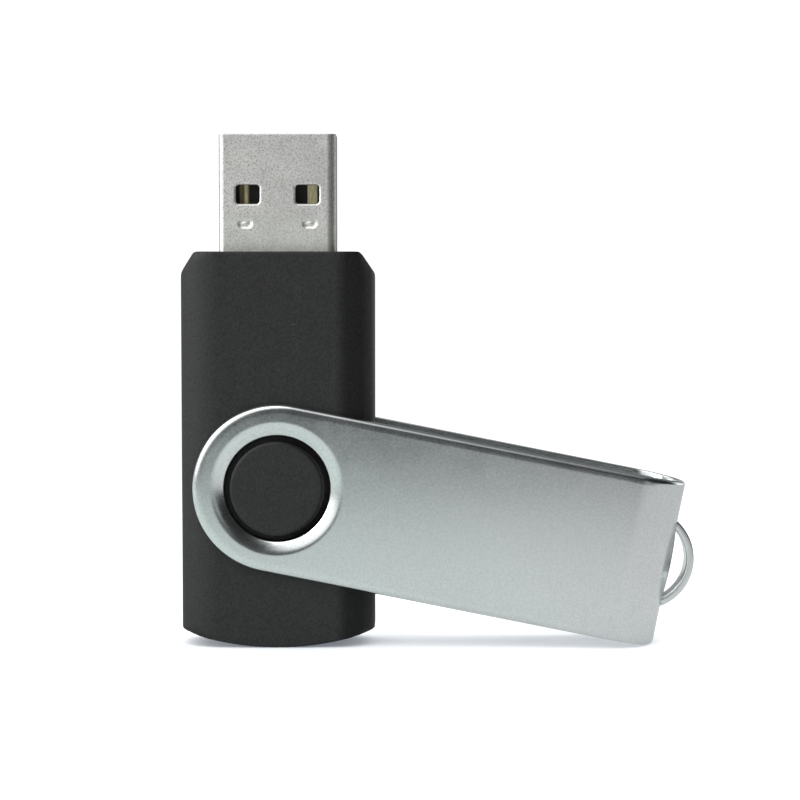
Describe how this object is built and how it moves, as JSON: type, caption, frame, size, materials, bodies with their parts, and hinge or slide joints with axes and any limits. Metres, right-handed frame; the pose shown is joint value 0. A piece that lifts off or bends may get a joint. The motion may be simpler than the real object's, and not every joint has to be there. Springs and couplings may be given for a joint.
{
  "type": "usb flash drive",
  "caption": "Matte plastic memory stick with a metal USB-A plug and a bent metal cover that swivels round a boss to hide the plug, with a key-ring loop.",
  "frame": {"origin": "centre of the plug's cross-section, where the plug leaves the housing's shoulder", "axes": "+Z along the plug to its tip, +Y to the rear face, +X to the side the open cover points to"},
  "size_m": [0.0529, 0.01, 0.0525],
  "materials": {
    "satin_cover": "fine satin, bead blasted and clear anodised",
    "black_plastic": "fine spark-eroded matte texture",
    "plated_steel": "dull nickel plate with a fine mottled grain",
    "insulator_plastic": "smooth moulded",
    "gold_contact": "thin gold plate",
    "board_laminate": "solder mask over laminate",
    "chip_mould": "fine moulded epoxy",
    "chip_ceramic": "fired, slightly rough",
    "tin_lead": "tin plate"
  },
  "bodies": {
    "housing": {"front_shell": "black_plastic", "rear_shell": "black_plastic", "plug_shell": "plated_steel", "plug_insulator": "insulator_plastic", "power_contacts": "gold_contact", "data_contacts": "gold_contact", "circuit_board": "board_laminate", "contact_pads": "gold_contact", "flash_memory": "chip_mould", "flash_memory_leads": "tin_lead", "controller_chip": "chip_mould", "controller_leads": "tin_lead", "crystal_base": "chip_ceramic", "crystal_can": "tin_lead", "regulator_body": "chip_mould", "regulator_leads": "tin_lead", "capacitor_bodies": "chip_ceramic", "capacitor_terminals": "tin_lead", "resistor_bodies": "chip_mould", "resistor_terminals": "tin_lead", "fuse_body": "board_laminate", "fuse_terminals": "tin_lead", "plug_solder_joints": "tin_lead"},
    "cover": {"swivel_cover": "satin_cover"}
  },
  "joints": [
    {"name": "cover_swivel", "type": "hinge", "parent": "housing", "child": "cover", "pos_m": [0, 0, -0.0241], "axis": [0, -1, 0], "continuous": true}
  ]
}
